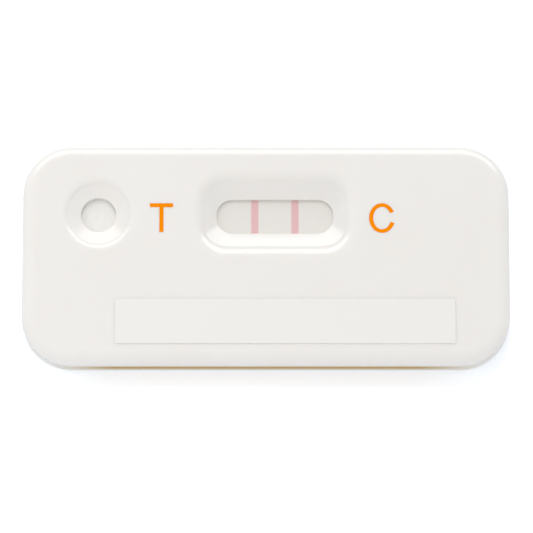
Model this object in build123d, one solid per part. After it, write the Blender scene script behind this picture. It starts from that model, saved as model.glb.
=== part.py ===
from build123d import *
import math
import os

# Lateral flow cassette in millimetres. X runs along the strip from the sample well to the absorbent
# end, Y runs to the back, Z runs up, and the origin is the centre of the underside.

# Strip and its layers, from the sample end to the absorbent end
strip_length = 60.0
strip_width = 6.0
card_thickness = 0.3
membrane_thickness = 0.18
membrane_start = 18.8
membrane_margin = 4.1
conjugate_length = 8.0
conjugate_thickness = 0.3
sample_thickness = 0.85
absorbent_thickness = 1.0
layer_overlap = 2.0
layer_ramp = 0.8

# Reagent lines, set into the face of the membrane on each side of the window's middle
line_width = 1.17
line_spacing = 5.8
line_depth = 0.08

# Result window: a dish with a steep rim, then a gentler slope down to an opening over the membrane
window_length = 16.8
window_side_cover = 0.49
window_end_flat = 0.3
window_end_slope = 2.8
window_side_slope = 3.2
window_steep_run = 1.05
window_mouth_angle = 44.0
window_mouth_corner = 4.2
window_mouth_round = 2.2
window_lip = 0.65
window_clearance = 0.05
dish_skirt = 1.2

# Sample well: a rounded mouth, a gentle cone, then a straight round hole down to the sample pad
well_inset = 5.9
well_side_cover = 0.45
well_mouth_run = 3.12
well_mouth_round = 1.65
well_mouth_angle = 48.0
well_hole_depth = 1.0
well_clearance = 0.05
well_skirt_flare = 0.6

# Walls and heights of the two halves, which meet at the parting line
wall = 1.2
corner_radius = 7.15
upper_height = 2.75
top_plate = 1.1
top_edge_radius = 1.9
ceiling_chamfer = 0.6
lower_height = 3.05
floor_plate = 1.1
bottom_edge_chamfer = 0.5
parting_edge = 0.12

# Room that the housing leaves around the strip and the window dish
end_room = 5.0
back_land = 1.627
front_room = 21.97

# Tongue on the lower wall that stands in a rebate of the upper wall
tongue_height = 0.6
tongue_thickness = 0.5
tongue_clearance = 0.1

# Strip bed in the lower half, and low ribs across the empty front of it
bed_height = 1.15
bed_rib_count = 9
bed_rib_width = 0.8
rail_thickness = 0.8
rail_drop = 0.1
strip_clearance = 0.1
stiffener_count = 5
stiffener_width = 0.8
stiffener_height = 0.7

# Six-sided pins of the upper half, and the posts of the lower half with the round bores that take them
pin_radius = 0.9
pin_clearance = 0.05
pin_tip_gap = 0.3
pin_edge_distance = 4.05
pin_end_distance = 5.5
pin_flank = 4.2
socket_wall = 0.8

# Ribs of the upper half that hold the strip down
press_rib_width = 0.8
press_clearance = 0.05

# Blank write-on label on the top face
label_left_distance = 13.45
label_right_distance = 7.9
label_front_distance = 2.85
label_width = 6.5
label_thickness = 0.08

# Heights worked out from the values above
parting_z = lower_height
top_z = lower_height + upper_height
ceiling_z = top_z - top_plate
seat_z = floor_plate + bed_height
card_top = seat_z + card_thickness
membrane_top = card_top + membrane_thickness
sample_top = card_top + sample_thickness
window_lip_z = membrane_top + window_clearance
window_slope_z = window_lip_z + window_lip
rail_top = window_lip_z - rail_drop
well_lip_z = sample_top + well_clearance
well_slope_z = well_lip_z + well_hole_depth

# Ends of the layers along the strip, and what lines up with them
strip_start = -strip_length / 2
strip_end = strip_length / 2
membrane_left = strip_start + membrane_start
membrane_right = membrane_left + window_length + 2 * membrane_margin
conjugate_right = membrane_left + layer_overlap
conjugate_left = conjugate_right - conjugate_length
sample_right = conjugate_left + layer_overlap
absorbent_left = membrane_right - layer_overlap
window_x = (membrane_left + membrane_right) / 2
test_line_x = window_x - line_spacing / 2
control_line_x = window_x + line_spacing / 2
well_x = strip_start + well_inset
well_hole_radius = strip_width / 2 - well_side_cover
well_mouth_radius = well_hole_radius + well_mouth_run

# Window sizes that follow the strip, and the creases where the dish's rim and the well's mouth end
window_width = strip_width - 2 * window_side_cover
window_corner = window_width / 2 - window_end_flat
window_mouth_length = window_length + 2 * window_end_slope
window_mouth_width = window_width + 2 * window_side_slope
window_turn = math.radians(window_mouth_angle)
window_crease_z = top_z - window_steep_run * math.tan(window_turn)
well_turn = math.radians(well_mouth_angle)
well_crease_radius = well_mouth_radius - well_mouth_round * math.sin(well_turn)
well_crease_z = top_z - well_mouth_round * (1 - math.cos(well_turn))

# Housing outline: dish, rounded mouth, flat land and edge rounding lie between strip and back edge
mouth_reach = window_mouth_round * math.tan(window_turn / 2)
back_room = window_mouth_width / 2 + mouth_reach + back_land + top_edge_radius
housing_length = strip_length + 2 * end_room
housing_width = back_room + front_room
strip_y = (front_room - back_room) / 2
strip_front = strip_y - strip_width / 2
strip_back = strip_y + strip_width / 2


def plan(inset, low, high):
    """The housing outline, drawn in by inset and raised from low to high."""
    outline = RectangleRounded(
        housing_length - 2 * inset, housing_width - 2 * inset, corner_radius - inset
    )
    return Pos(0, 0, low) * extrude(outline, high - low)


def box_between(x0, x1, y0, y1, z0, z1):
    return Pos((x0 + x1) / 2, (y0 + y1) / 2, (z0 + z1) / 2) * Box(x1 - x0, y1 - y0, z1 - z0)


def cross_bar(x, width, y0, y1, z0, z1):
    """A bar across the housing, with its middle at x."""
    return box_between(x - width / 2, x + width / 2, y0, y1, z0, z1)


# Window dish


def dish_outline(z, margin):
    """Rounded outline of the dish at height z, pushed out by margin all round."""
    slope = min((z - window_slope_z) / (window_crease_z - window_slope_z), 1)
    rise = max(z - window_crease_z, 0) / math.tan(window_turn)
    length = window_length + 2 * (slope * (window_end_slope - window_steep_run) + rise)
    width = window_width + 2 * (slope * (window_side_slope - window_steep_run) + rise)
    corner = window_corner + slope * (window_mouth_corner - window_steep_run - window_corner) + rise
    outline = RectangleRounded(length + 2 * margin, width + 2 * margin, corner + margin)
    return Pos(window_x, strip_y, z) * outline


def dish_solid(top, margin):
    """The dish as a solid: straight sides round the opening, the gentle slope, and the steep rim."""
    crease_z = min(top, window_crease_z)
    dish = extrude(dish_outline(window_slope_z, margin), -window_lip)
    dish += loft([dish_outline(window_slope_z, margin), dish_outline(crease_z, margin)])
    if top > crease_z:
        dish += loft([dish_outline(crease_z, margin), dish_outline(top, margin)])
    return dish


def on_window_mouth(edge):
    """True for the edges where the dish meets the top face."""
    box = edge.bounding_box()
    middle = box.center()
    level = abs(box.min.Z - top_z) < 0.001 and box.size.Z < 0.001
    inside_x = abs(middle.X - window_x) < window_mouth_length / 2 + 0.01
    inside_y = abs(middle.Y - strip_y) < window_mouth_width / 2 + 0.01
    return level and inside_x and inside_y


# Sample well


def well_point(turn):
    """Point on the rounded mouth where the surface has turned down by this angle."""
    radius = well_mouth_radius - well_mouth_round * math.sin(turn)
    return (radius, 0, top_z - well_mouth_round * (1 - math.cos(turn)))


def well_cut():
    """Section of the well, turned about its axis: rounded mouth, cone, straight hole."""
    mouth = ThreePointArc(well_point(0), well_point(well_turn / 2), well_point(well_turn))
    rest = Polyline(
        well_point(well_turn),
        (well_hole_radius, 0, well_slope_z),
        (well_hole_radius, 0, well_lip_z),
        (0, 0, well_lip_z),
        (0, 0, top_z),
        well_point(0),
    )
    return Pos(well_x, strip_y, 0) * revolve(make_face(mouth + rest), Axis.Z)


def well_skirt():
    """Outside of the funnel, under the top plate."""
    height = ceiling_z - well_lip_z
    cone = Cone(well_hole_radius + dish_skirt, well_crease_radius + well_skirt_flare, height)
    return Pos(well_x, strip_y, well_lip_z + height / 2) * cone


# Pins and sockets


def pin_places():
    """Four columns, at the ends and beside the window dish, in a back row and a front row."""
    end_x = housing_length / 2 - pin_end_distance
    flank = window_mouth_length / 2 + pin_flank
    edge_y = housing_width / 2 - pin_edge_distance
    return [(x, y) for x in (-end_x, window_x - flank, window_x + flank, end_x) for y in (-edge_y, edge_y)]


def pin(x, y):
    """A six-sided pin, so that only its corners bear on the round socket."""
    low = floor_plate + pin_tip_gap
    return Pos(x, y, low) * extrude(RegularPolygon(pin_radius, 6), ceiling_z - low)


def socket_post(x, y):
    """The eight-sided post that a socket is bored in."""
    radius = pin_radius + pin_clearance + socket_wall
    return Pos(x, y, floor_plate) * extrude(RegularPolygon(radius, 8), parting_z - floor_plate)


def socket_bore(x, y):
    return Pos(x, y, floor_plate) * extrude(Circle(pin_radius + pin_clearance), parting_z - floor_plate)


# Ribs


def press_ribs():
    """Bars under the top plate that stop just above the pads and hold the strip in its bed."""
    thin_pad_x = (conjugate_left + membrane_left) / 2 + layer_overlap / 2
    seats = [
        ((conjugate_left + sample_right) / 2, sample_top + conjugate_thickness),
        (thin_pad_x, card_top + conjugate_thickness),
        (membrane_right, membrane_top + absorbent_thickness),
        ((membrane_right + strip_end) / 2, card_top + absorbent_thickness),
        (strip_end - 2 * press_rib_width, card_top + absorbent_thickness),
    ]
    return [
        cross_bar(x, press_rib_width, strip_front, strip_back, z + press_clearance, ceiling_z)
        for x, z in seats
    ]


def strip_bed():
    """Two rails beside the card with a stop at each end, and cross ribs that carry it."""
    front = strip_front - strip_clearance
    back = strip_back + strip_clearance
    left = strip_start - strip_clearance
    right = strip_end + strip_clearance
    rail = rail_thickness
    bed = box_between(left - rail, right + rail, front - rail, back + rail, floor_plate, rail_top)
    bed -= box_between(left, right, front, back, floor_plate, rail_top)
    pitch = (strip_length - bed_rib_width) / (bed_rib_count - 1)
    for index in range(bed_rib_count):
        x = strip_start + bed_rib_width / 2 + index * pitch
        bed += cross_bar(x, bed_rib_width, front, back, floor_plate, seat_z)
    return bed


def stiffeners():
    """Low ribs across the empty front of the tray, from the front wall to the strip bed."""
    front = wall - housing_width / 2
    back = strip_front - strip_clearance - rail_thickness
    top = floor_plate + stiffener_height
    pitch = (housing_length - 2 * pin_end_distance) / stiffener_count
    middle = (stiffener_count - 1) / 2
    return [
        cross_bar((index - middle) * pitch, stiffener_width, front, back, floor_plate, top)
        for index in range(stiffener_count)
    ]


# Mouldings


def upper_housing():
    shell = plan(0, parting_z, top_z)
    shell = fillet(shell.edges().group_by(Axis.Z)[-1], top_edge_radius)
    cavity = plan(wall, parting_z, ceiling_z)
    shell -= chamfer(cavity.edges().group_by(Axis.Z)[-1], ceiling_chamfer)
    shell += dish_solid(ceiling_z, dish_skirt)
    shell += well_skirt()
    shell -= dish_solid(top_z, 0)
    shell = fillet(shell.edges().filter_by(on_window_mouth), window_mouth_round)
    shell -= well_cut()
    rebate = wall - tongue_thickness - tongue_clearance
    shell -= plan(rebate, parting_z, parting_z + tongue_height + tongue_clearance) - plan(
        wall, parting_z, parting_z + tongue_height + tongue_clearance
    )
    for x, y in pin_places():
        shell += pin(x, y)
    for rib in press_ribs():
        shell += rib
    return shell


def lower_housing():
    tray = plan(0, 0, parting_z)
    tray = chamfer(tray.edges().group_by(Axis.Z)[0], bottom_edge_chamfer)
    tray = chamfer(tray.edges().group_by(Axis.Z)[-1], parting_edge)
    tray += plan(wall - tongue_thickness, parting_z, parting_z + tongue_height)
    tray -= plan(wall, floor_plate, parting_z + tongue_height)
    tray += strip_bed()
    for rib in stiffeners():
        tray += rib
    for x, y in pin_places():
        tray += socket_post(x, y)
    for x, y in pin_places():
        tray -= socket_bore(x, y)
    return tray


# Strip


def stepped_pad(flat_end, foot, step, lap_end, rise, thickness):
    """A pad that lies on the card and climbs over the end of the layer beside it."""
    under = [(flat_end, card_top), (foot, card_top), (step, card_top + rise), (lap_end, card_top + rise)]
    over = [(x, z + thickness) for x, z in reversed(under)]
    section = make_face(Polyline(*[(x, 0, z) for x, z in under + over], close=True))
    return Pos(0, strip_y, 0) * extrude(section, strip_width / 2, both=True)


def backing_card():
    return box_between(strip_start, strip_end, strip_front, strip_back, seat_z, card_top)


def reagent_line(x):
    return cross_bar(x, line_width, strip_front, strip_back, membrane_top - line_depth, membrane_top)


def membrane():
    sheet = box_between(membrane_left, membrane_right, strip_front, strip_back, card_top, membrane_top)
    return sheet - reagent_line(test_line_x) - reagent_line(control_line_x)


def conjugate_pad():
    foot = membrane_left - layer_ramp
    return stepped_pad(
        conjugate_left, foot, membrane_left, conjugate_right, membrane_thickness, conjugate_thickness
    )


def sample_pad():
    foot = conjugate_left - layer_ramp
    return stepped_pad(
        strip_start, foot, conjugate_left, sample_right, conjugate_thickness, sample_thickness
    )


def absorbent_pad():
    foot = membrane_right + layer_ramp
    return stepped_pad(
        strip_end, foot, membrane_right, absorbent_left, membrane_thickness, absorbent_thickness
    )


def write_on_label():
    left = label_left_distance - housing_length / 2
    right = housing_length / 2 - label_right_distance
    front = label_front_distance - housing_width / 2
    return box_between(left, right, front, front + label_width, top_z, top_z + label_thickness)


pieces = {
    "upper_housing": upper_housing(),
    "lower_housing": lower_housing(),
    "backing_card": backing_card(),
    "sample_pad": sample_pad(),
    "conjugate_pad": conjugate_pad(),
    "membrane": membrane(),
    "test_line": reagent_line(test_line_x),
    "control_line": reagent_line(control_line_x),
    "absorbent_pad": absorbent_pad(),
    "write_on_label": write_on_label(),
}

os.makedirs("parts", exist_ok=True)
for name, piece in pieces.items():
    export_step(piece, f"parts/{name}.step")
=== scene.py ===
import math

import bmesh
import bpy
from mathutils import Matrix, Vector, noise


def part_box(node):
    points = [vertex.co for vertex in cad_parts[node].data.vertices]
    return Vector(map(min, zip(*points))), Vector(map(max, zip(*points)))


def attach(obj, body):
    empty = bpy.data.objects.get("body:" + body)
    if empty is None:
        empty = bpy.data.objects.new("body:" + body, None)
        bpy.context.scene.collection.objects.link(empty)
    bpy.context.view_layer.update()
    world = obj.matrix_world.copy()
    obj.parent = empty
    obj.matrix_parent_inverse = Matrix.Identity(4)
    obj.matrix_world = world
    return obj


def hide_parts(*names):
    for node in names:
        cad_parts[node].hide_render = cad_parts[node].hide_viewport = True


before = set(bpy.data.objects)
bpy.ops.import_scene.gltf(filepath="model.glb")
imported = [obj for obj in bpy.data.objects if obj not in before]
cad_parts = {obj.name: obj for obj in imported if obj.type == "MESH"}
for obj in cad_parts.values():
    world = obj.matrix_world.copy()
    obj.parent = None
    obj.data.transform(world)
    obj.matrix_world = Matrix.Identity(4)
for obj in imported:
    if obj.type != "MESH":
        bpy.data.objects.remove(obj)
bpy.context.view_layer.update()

MM = 0.001


def linear(hex_colour):
    """Linear RGBA of an sRGB hex colour."""
    channels = [int(hex_colour[i:i + 2], 16) / 255 for i in (1, 3, 5)]
    return [c / 12.92 if c <= 0.04045 else ((c + 0.055) / 1.055) ** 2.4 for c in channels] + [1.0]


def add_node(tree, kind, inputs, **settings):
    """Adds a node with its settings. Each input is a value, or another node's output socket to link."""
    made = tree.nodes.new(kind)
    for name, value in settings.items():
        setattr(made, name, value)
    for name, value in inputs.items():
        if isinstance(value, bpy.types.NodeSocket):
            tree.links.new(value, made.inputs[name])
        else:
            made.inputs[name].default_value = value
    return made


def pattern(tree, place, size, detail):
    """A noise from 0 to 1 with features of about the given size."""
    inputs = {"Vector": place, "Scale": 1 / size, "Detail": detail}
    return add_node(tree, "ShaderNodeTexNoise", inputs).outputs["Fac"]


def ramp(tree, value, start, end, low=0.0, high=1.0, shape="LINEAR"):
    """Goes from low to high as a value goes from start to end, and stays level beyond them."""
    inputs = {"Value": value, "From Min": start, "From Max": end, "To Min": low, "To Max": high}
    return add_node(tree, "ShaderNodeMapRange", inputs, interpolation_type=shape).outputs[0]


def reckon(tree, operation, *terms):
    """Arithmetic on one, two or three values."""
    return add_node(tree, "ShaderNodeMath", dict(enumerate(terms)), operation=operation).outputs[0]


def blend(tree, share, first, second):
    """The colour between two others, at a share of the way from the first to the second."""
    inputs = {0: share, 6: first, 7: second}
    return add_node(tree, "ShaderNodeMix", inputs, data_type="RGBA").outputs[2]


def bump(tree, height, strength, distance):
    """A normal that follows a pattern as if it were relief of the given height."""
    inputs = {"Height": height, "Strength": strength, "Distance": distance}
    return add_node(tree, "ShaderNodeBump", inputs).outputs[0]


def new_material(name):
    """An empty node material with the Object coordinates that its patterns read."""
    material = bpy.data.materials.new(name)
    material.use_nodes = True
    tree = material.node_tree
    tree.nodes.clear()
    return material, tree, add_node(tree, "ShaderNodeTexCoord", {}).outputs["Object"]


def dress(piece, material, tree, shader):
    """Ends a material in its shader, and makes it the piece's only one."""
    add_node(tree, "ShaderNodeOutputMaterial", {"Surface": shader.outputs[0]})
    piece.data.materials.clear()
    piece.data.materials.append(material)


def verts_among(geometry):
    """The vertices in what a mesh operator gives back."""
    return [item for item in geometry if isinstance(item, bmesh.types.BMVert)]


def new_piece(name, mesh):
    """Turns a mesh that was built in memory into an object of the scene, and frees it."""
    data = bpy.data.meshes.new(name)
    mesh.to_mesh(data)
    mesh.free()
    piece = bpy.data.objects.new(name, data)
    bpy.context.scene.collection.objects.link(piece)
    return piece


# Camera: a long lens a little off straight down, from the front long edge. The photograph is 533 pixels
# wide, and a millimetre on the top face takes 6.98 of them, so the field is 76.4 mm wide.
PHOTO_WIDTH = 533
PIXELS_PER_MM = 6.98
CAMERA_DISTANCE = 0.6
CAMERA_ELEVATION = math.radians(77.5)
AIM_X = 0.09 * MM
AIM_Y = -1.97 * MM
SENSOR_WIDTH = 36
NEAREST_SEEN = 0.01
face_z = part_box("write_on_label")[0].z
aim = Vector((AIM_X, AIM_Y, face_z))
toward_camera = Vector((0, -math.cos(CAMERA_ELEVATION), math.sin(CAMERA_ELEVATION)))
camera_data = bpy.data.cameras.new("camera")
camera_data.sensor_width = SENSOR_WIDTH
camera_data.lens = SENSOR_WIDTH * CAMERA_DISTANCE / (PHOTO_WIDTH / PIXELS_PER_MM * MM)
camera_data.clip_start = NEAREST_SEEN
camera = bpy.data.objects.new("camera", camera_data)
camera.location = aim + CAMERA_DISTANCE * toward_camera
camera.rotation_euler = toward_camera.to_track_quat("Z", "Y").to_euler()
bpy.context.scene.collection.objects.link(camera)
bpy.context.scene.camera = camera
bpy.context.scene.view_settings.view_transform = "Standard"

# Lower housing: the tray half of the case, injection moulded in polystyrene a shade warmer than the top.
# Its front wall carries painted amber shade, standing for the warm shade and glow of light that comes
# through the plastic. It is strongest just under the parting line, and paler downward and toward both
# ends.
# The painted shade starts behind the wall's outer face and is full at it.
LOWER_COLOUR = "#F1F0EC"
LOWER_COLOUR_DEEP = "#EDEBE5"
PAINTED_SHADE_COLOUR = "#BE9A4F"
AMBER_LOW = 0.2 * MM
AMBER_HIGH = 2.2 * MM
AMBER_BACK = -14 * MM
AMBER_FRONT = -15 * MM
AMBER_END = 31 * MM
AMBER_FADE = 9 * MM
FLOW_SIZE = 9 * MM
GRAIN_SIZE = 0.35 * MM
material, tree, place = new_material("moulded_polystyrene_cream")
flow = pattern(tree, place, size=FLOW_SIZE, detail=2.0)
grain = pattern(tree, place, size=GRAIN_SIZE, detail=3.0)
along = add_node(tree, "ShaderNodeSeparateXYZ", {"Vector": place})
from_middle = reckon(tree, "ABSOLUTE", along.outputs["X"])
near_middle = ramp(tree, from_middle, start=AMBER_END, end=AMBER_END - AMBER_FADE)
at_front = ramp(tree, along.outputs["Y"], start=AMBER_BACK, end=AMBER_FRONT)
high_up = ramp(tree, along.outputs["Z"], start=AMBER_LOW, end=AMBER_HIGH)
# Mask of the painted amber shade, full in the middle of the front wall and high up under the parting line.
painted_shade = reckon(tree, "MULTIPLY", reckon(tree, "MULTIPLY", near_middle, at_front), high_up)
cloud = blend(tree, flow, linear(LOWER_COLOUR), linear(LOWER_COLOUR_DEEP))
shader = add_node(
    tree,
    "ShaderNodeBsdfPrincipled",
    {
        "Base Color": blend(tree, painted_shade, cloud, linear(PAINTED_SHADE_COLOUR)),
        "Roughness": ramp(tree, grain, start=0.3, end=0.7, low=0.4, high=0.5),
        "Normal": bump(tree, grain, strength=0.1, distance=0.02 * MM),
        "Specular IOR Level": 0.15,
    },
)
dress(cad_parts["lower_housing"], material, tree, shader)

# Backing card: thin white PVC sheet with adhesive on its top face, which carries the strip's layers.
# It is flat and smooth, with the dull shine of calendered sheet.
CARD_COLOUR = "#F1F1EF"
MOTTLE_SIZE = 0.8 * MM
material, tree, place = new_material("calendered_pvc_sheet")
mottle = pattern(tree, place, size=MOTTLE_SIZE, detail=2.0)
shader = add_node(
    tree,
    "ShaderNodeBsdfPrincipled",
    {
        "Base Color": linear(CARD_COLOUR),
        "Roughness": ramp(tree, mottle, start=0.0, end=1.0, low=0.45, high=0.6),
    },
)
dress(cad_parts["backing_card"], material, tree, shader)

# Membrane: cast nitrocellulose, a smooth chalky film with fine pores and no shine. The pores are a few
# thousandths of a millimetre in the real film, and are drawn coarser to show.
MEMBRANE_COLOUR = "#F0EDE8"
MEMBRANE_COLOUR_DEEP = "#E9E6E1"
PORE_SIZE = 0.12 * MM
PORE_RELIEF = 0.02 * MM
material, tree, place = new_material("cast_nitrocellulose")
pores = pattern(tree, place, size=PORE_SIZE, detail=4.0)
shader = add_node(
    tree,
    "ShaderNodeBsdfPrincipled",
    {
        "Base Color": blend(tree, pores, linear(MEMBRANE_COLOUR), linear(MEMBRANE_COLOUR_DEEP)),
        "Roughness": 0.85,
        "Normal": bump(tree, pores, strength=0.3, distance=PORE_RELIEF),
    },
)
dress(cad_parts["membrane"], material, tree, shader)

# Reagent lines: stripes of dyed particles caught in the membrane. The dye thins out towards both edges
# of each stripe, and is a little uneven along it.
LINE_COLOUR = "#ECC6C7"
LINE_COLOUR_DEEP = "#E6B8BA"
LINE_EDGE_COLOUR = "#EEDAD7"
LINE_SOLID_HALF = 0.40 * MM
for line_name in ("test_line", "control_line"):
    low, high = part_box(line_name)
    middle = Vector(((low.x + high.x) / 2, 0, 0))
    material, tree, place = new_material("dyed_stripe_" + line_name)
    offset = add_node(tree, "ShaderNodeVectorMath", {0: place, 1: middle}, operation="SUBTRACT")
    across = add_node(tree, "ShaderNodeSeparateXYZ", {"Vector": offset.outputs[0]})
    distance = reckon(tree, "ABSOLUTE", across.outputs["X"])
    line_half = (high.x - low.x) / 2
    fade = ramp(tree, distance, start=LINE_SOLID_HALF, end=line_half, shape="SMOOTHSTEP")
    pores = pattern(tree, place, size=PORE_SIZE, detail=4.0)
    dye = blend(tree, pores, linear(LINE_COLOUR), linear(LINE_COLOUR_DEEP))
    shader = add_node(
        tree,
        "ShaderNodeBsdfPrincipled",
        {
            "Base Color": blend(tree, fade, dye, linear(LINE_EDGE_COLOUR)),
            "Roughness": 0.85,
            "Normal": bump(tree, pores, strength=0.3, distance=PORE_RELIEF),
        },
    )
    dress(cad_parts[line_name], material, tree, shader)

# Conjugate pad and absorbent pad: a thin glass-fibre felt with dried red dye, and a thick sheet of cotton
# fibre. Both are uneven in colour and surface at the size of their fibres.
FELTS = {
    "conjugate_pad": ("#D9AFAE", "#C99795", 0.25 * MM),
    "absorbent_pad": ("#F0EDE6", "#E4DFD5", 0.4 * MM),
}
for pad_name, (light, deep, fibre_size) in FELTS.items():
    material, tree, place = new_material("fibre_felt_" + pad_name)
    fibres = pattern(tree, place, size=fibre_size, detail=5.0)
    shader = add_node(
        tree,
        "ShaderNodeBsdfPrincipled",
        {
            "Base Color": blend(tree, fibres, linear(light), linear(deep)),
            "Roughness": 0.95,
            "Normal": bump(tree, fibres, strength=0.6, distance=0.06 * MM),
        },
    )
    dress(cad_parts[pad_name], material, tree, shader)

# Sample pad: a soft off-white pad of pressed cellulose fibre, laid over the end of the thin pad. It swells
# up a little where the hole of the well leaves it free, and its face is rough with loose fibres. The
# pattern's fibres lie long and a little askew.
PAD_CELL = 0.12 * MM
PAD_SWELL = 0.05 * MM
FIBRE_LIFT = 0.03 * MM
FIBRE_SIZE = 0.3 * MM
FIBRE_OCTAVES = 3
FIBRE_LEVEL = 0.6
FIBRE_TURN = 0.6
FIBRE_DRAW = 0.35
WELL_HOLE_RADIUS = 2.55 * MM
WELL_X = -24.1 * MM
CONJUGATE_THICKNESS = 0.3 * MM
STEP_RAMP = 0.8 * MM
PAD_COLOUR = "#F9F8F5"
PAD_COLOUR_DEEP = "#F1EFEA"
pad_low, pad_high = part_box("sample_pad")
step_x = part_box("conjugate_pad")[0].x
card_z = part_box("backing_card")[1].z
pad_middle = (pad_low + pad_high) / 2
well_middle = Vector((WELL_X, pad_middle.y))
pad_thickness = pad_high.z - CONJUGATE_THICKNESS - card_z
felt = bmesh.new()
bmesh.ops.create_grid(
    felt,
    x_segments=round((pad_high.x - pad_low.x) / PAD_CELL),
    y_segments=round((pad_high.y - pad_low.y) / PAD_CELL),
    size=0.5,
)
bmesh.ops.scale(felt, vec=(pad_high.x - pad_low.x, pad_high.y - pad_low.y, 1), verts=felt.verts)
bmesh.ops.translate(felt, vec=(pad_middle.x, pad_middle.y, 0), verts=felt.verts)
top_verts = list(felt.verts)
bmesh.ops.extrude_face_region(felt, geom=list(felt.faces))
for vert in felt.verts:
    climb = min(max((vert.co.x - step_x + STEP_RAMP) / STEP_RAMP, 0), 1)
    vert.co.z = card_z + climb * CONJUGATE_THICKNESS
for vert in top_verts:
    reach = (vert.co.xy - well_middle).length / WELL_HOLE_RADIUS
    swell = PAD_SWELL * max(0, 1 - reach * reach)
    roughness = noise.fractal(vert.co / FIBRE_SIZE, 1.0, 2.0, FIBRE_OCTAVES) - FIBRE_LEVEL
    vert.co.z += pad_thickness + swell + min(FIBRE_LIFT * roughness, 0)
bmesh.ops.recalc_face_normals(felt, faces=felt.faces)
pad_piece = new_piece("sample_pad_felt", felt)
pad_piece.data.polygons.foreach_set("use_smooth", [True] * len(pad_piece.data.polygons))
material, tree, place = new_material("pressed_cellulose_felt")
drawn = add_node(
    tree,
    "ShaderNodeMapping",
    {"Vector": place, "Rotation": (0, 0, FIBRE_TURN), "Scale": (1.0, FIBRE_DRAW, 1.0)},
)
fibres = add_node(
    tree,
    "ShaderNodeTexNoise",
    {"Vector": drawn.outputs[0], "Scale": 1 / FIBRE_SIZE, "Detail": 6.0, "Distortion": 0.8},
).outputs["Fac"]
shader = add_node(
    tree,
    "ShaderNodeBsdfPrincipled",
    {
        "Base Color": blend(tree, fibres, linear(PAD_COLOUR), linear(PAD_COLOUR_DEEP)),
        "Roughness": 0.95,
        "Normal": bump(tree, fibres, strength=0.5, distance=0.08 * MM),
    },
)
dress(pad_piece, material, tree, shader)
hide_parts("sample_pad")
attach(pad_piece, "root")

# Upper housing: the top half of the case, injection moulded in white polystyrene in a polished mould.
# It is glossy, with a faint long waviness from the melt's flow, and a little light sinks into its edges.
UPPER_COLOUR = "#F3F1EE"
UPPER_COLOUR_DEEP = "#F0EDE9"
material, tree, place = new_material("moulded_polystyrene_white")
flow = pattern(tree, place, size=FLOW_SIZE, detail=2.0)
grain = pattern(tree, place, size=GRAIN_SIZE, detail=3.0)
shader = add_node(
    tree,
    "ShaderNodeBsdfPrincipled",
    {
        "Base Color": blend(tree, flow, linear(UPPER_COLOUR), linear(UPPER_COLOUR_DEEP)),
        "Roughness": ramp(tree, grain, start=0.3, end=0.7, low=0.13, high=0.19),
        "Normal": bump(tree, flow, strength=0.15, distance=0.1 * MM),
        "IOR": 1.55,
        "Subsurface Weight": 0.6,
        "Subsurface Radius": (1.0, 0.95, 0.9),
        "Subsurface Scale": 0.6 * MM,
    },
)
dress(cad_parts["upper_housing"], material, tree, shader)

# Write-on label: a blank rectangle of matte coated paper, die-cut and stuck on by its own adhesive.
# It shows only as a slightly whiter, duller patch with a thin edge.
LABEL_COLOUR = "#F1EFEB"
PAPER_GRAIN = 0.5 * MM
material, tree, place = new_material("coated_paper")
grain = pattern(tree, place, size=PAPER_GRAIN, detail=4.0)
shader = add_node(
    tree,
    "ShaderNodeBsdfPrincipled",
    {
        "Base Color": linear(LABEL_COLOUR),
        "Roughness": 0.55,
        "Normal": bump(tree, grain, strength=0.1, distance=0.02 * MM),
    },
)
dress(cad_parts["write_on_label"], material, tree, shader)

# Printed marks: the plain letters T and C beside the window, pad printed in orange ink. The ink lies on
# the face as a film a fiftieth of a millimetre thick, with a dull shine.
INK_COLOUR = "#FF8F00"
INK_THICKNESS = 0.02 * MM
INK_SINK = 0.005 * MM
INK_PATCH = 0.3 * MM
ink, tree, place = new_material("pad_printing_ink_orange")
patches = pattern(tree, place, size=INK_PATCH, detail=3.0)
shader = add_node(
    tree,
    "ShaderNodeBsdfPrincipled",
    {
        "Base Color": linear(INK_COLOUR),
        "Roughness": ramp(tree, patches, start=0.0, end=1.0, low=0.35, high=0.5),
        "Specular IOR Level": 0.02,
    },
)
add_node(tree, "ShaderNodeOutputMaterial", {"Surface": shader.outputs[0]})


def print_letter(name, shape, centre):
    """Turns a letter's flat shape into a film of ink on the top face, about its centre."""
    film = bmesh.ops.extrude_face_region(shape, geom=list(shape.faces))
    raised = verts_among(film["geom"])
    bmesh.ops.translate(shape, vec=(0, 0, INK_THICKNESS + INK_SINK), verts=raised)
    bmesh.ops.translate(shape, vec=(centre[0], centre[1], face_z - INK_SINK), verts=shape.verts)
    bmesh.ops.recalc_face_normals(shape, faces=shape.faces)
    piece = new_piece(name, shape)
    piece.data.materials.append(ink)
    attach(piece, "root")


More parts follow.
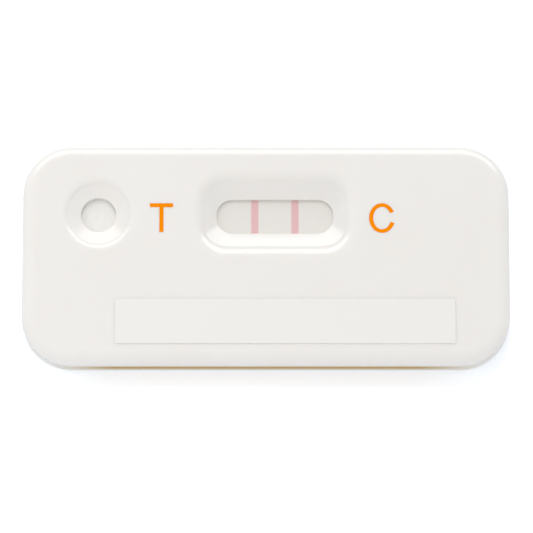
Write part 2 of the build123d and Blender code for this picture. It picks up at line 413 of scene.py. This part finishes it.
# Letter T: a stem under a bar that is a shade thinner than it.
T_CENTRE = (-15.0 * MM, 5.21 * MM)
T_HEIGHT = 4.23 * MM
T_WIDTH = 3.34 * MM
T_BAR = 0.55 * MM
T_STEM = 0.58 * MM
shape = bmesh.new()
bmesh.ops.create_grid(shape, x_segments=1, y_segments=1, size=0.5)
bmesh.ops.scale(shape, vec=(T_STEM, T_HEIGHT - T_BAR, 1), verts=shape.verts)
bmesh.ops.translate(shape, vec=(0, -T_BAR / 2, 0), verts=shape.verts)
top_edge = max(shape.edges, key=lambda edge: edge.verts[0].co.y + edge.verts[1].co.y)
bar = bmesh.ops.extrude_edge_only(shape, edges=[top_edge])
bmesh.ops.translate(shape, vec=(0, T_BAR, 0), verts=verts_among(bar["geom"]))
for side in (-1, 1):
    side_edge = max(
        (edge for edge in shape.edges if edge.verts[0].co.y + edge.verts[1].co.y > T_HEIGHT - T_BAR),
        key=lambda edge: side * (edge.verts[0].co.x + edge.verts[1].co.x),
    )
    arm = bmesh.ops.extrude_edge_only(shape, edges=[side_edge])
    arm_reach = side * (T_WIDTH - T_STEM) / 2
    bmesh.ops.translate(shape, vec=(arm_reach, 0, 0), verts=verts_among(arm["geom"]))
print_letter("printed_letter_t", shape, T_CENTRE)

# Letter C: an oval ring, open on the right between its two cut ends. It is spun as a round ring of radius
# 1 to 2, whose two rims are then scaled to their own ovals.
C_CENTRE = (16.69 * MM, 5.16 * MM)
C_OUTER = (1.87 * MM, 2.18 * MM)
C_INNER = (1.28 * MM, 1.66 * MM)
C_UPPER_END = math.radians(25.4)
C_LOWER_END = math.radians(340.4)
C_STEPS = 48
RING_INNER = 1.0
RING_OUTER = 2.0
RING_MIDDLE = (RING_INNER + RING_OUTER) / 2
shape = bmesh.new()
ring_ends = [shape.verts.new((radius, 0, 0)) for radius in (RING_INNER, RING_OUTER)]
cut = shape.edges.new(ring_ends)
bmesh.ops.rotate(shape, verts=ring_ends, matrix=Matrix.Rotation(C_UPPER_END, 3, "Z"))
bmesh.ops.spin(
    shape,
    geom=[cut],
    axis=(0, 0, 1),
    angle=C_LOWER_END - C_UPPER_END,
    steps=C_STEPS,
    use_duplicate=False,
)
inner_verts = [vert for vert in shape.verts if vert.co.length < RING_MIDDLE]
outer_verts = [vert for vert in shape.verts if vert.co.length > RING_MIDDLE]
for rim, (half_width, half_height), radius in (
    (inner_verts, C_INNER, RING_INNER),
    (outer_verts, C_OUTER, RING_OUTER),
):
    bmesh.ops.scale(shape, vec=(half_width / radius, half_height / radius, 1), verts=rim)
print_letter("printed_letter_c", shape, C_CENTRE)

# Floor: a matte sweep in a slightly cool white, which keeps the soft shadow of the case. The camera sees
# it brighter than the case does, so that it is white where nothing shades it.
FLOOR_HALF = 3.0
FLOOR_COLOUR = "#EFF2F7"
FLOOR_GAIN = 0.45
material, tree, place = new_material("white_sweep")
rays = add_node(tree, "ShaderNodeLightPath", {})
gain = reckon(tree, "MULTIPLY_ADD", rays.outputs["Is Camera Ray"], FLOOR_GAIN, 1.0)
white = add_node(
    tree,
    "ShaderNodeVectorMath",
    {0: linear(FLOOR_COLOUR)[:3], "Scale": gain},
    operation="SCALE",
)
shader = add_node(tree, "ShaderNodeBsdfDiffuse", {"Color": white.outputs[0]})
sweep = bmesh.new()
bmesh.ops.create_grid(sweep, x_segments=1, y_segments=1, size=FLOOR_HALF)
floor = new_piece("floor", sweep)
dress(floor, material, tree, shader)

# Room: pale all round. It counts as full white where the camera or a reflection sees it.
ROOM_LIGHT = 0.76
ROOM_SEEN = 1.0
world = bpy.data.worlds.new("studio")
bpy.context.scene.world = world
world.use_nodes = True
tree = world.node_tree
tree.nodes.clear()
rays = add_node(tree, "ShaderNodeLightPath", {})
seen = reckon(tree, "MAXIMUM", rays.outputs["Is Camera Ray"], rays.outputs["Is Glossy Ray"])
seen = reckon(tree, "MAXIMUM", seen, rays.outputs["Is Transmission Ray"])
strength = ramp(tree, seen, start=0.0, end=1.0, low=ROOM_LIGHT, high=ROOM_SEEN)
background = add_node(tree, "ShaderNodeBackground", {"Color": (1, 1, 1, 1), "Strength": strength})
add_node(tree, "ShaderNodeOutputWorld", {"Surface": background.outputs[0]})

# Lamps: a small one high at the back throws the shadow under the front edge. Wide low ones at the back
# and the front light the rounded edges, and a faint one on the left makes the face fall off to the right.
# The card at the back is seen only in gloss. Each has its place, its width and depth, its power in watts,
# and whether it counts on matte surfaces and in gloss.
LAMPS = {
    "top_softbox": ((0.0, 0.382, 0.703), (0.06, 0.06), 0.7, True, False),
    "back_softbox": ((0.0, 0.75, 0.32), (1.8, 0.55), 1.6, True, False),
    "front_softbox": ((0.0, -0.8, 0.15), (1.8, 0.3), 1.0, True, False),
    "back_card": ((0.0, 0.85, 0.36), (2.0, 0.62), 10.0, False, True),
    "left_softbox": ((-0.16, 0.0, 0.15), (0.08, 0.08), 0.035, True, False),
}
for lamp_name, (spot, size, power, on_matte, in_gloss) in LAMPS.items():
    lamp_data = bpy.data.lights.new(lamp_name, "AREA")
    lamp_data.shape = "RECTANGLE"
    lamp_data.size, lamp_data.size_y = size
    lamp_data.energy = power
    lamp = bpy.data.objects.new(lamp_name, lamp_data)
    lamp.location = spot
    lamp.visible_diffuse = on_matte
    lamp.visible_glossy = in_gloss
    lamp.rotation_euler = Vector(spot).to_track_quat("Z", "Y").to_euler()
    bpy.context.scene.collection.objects.link(lamp)
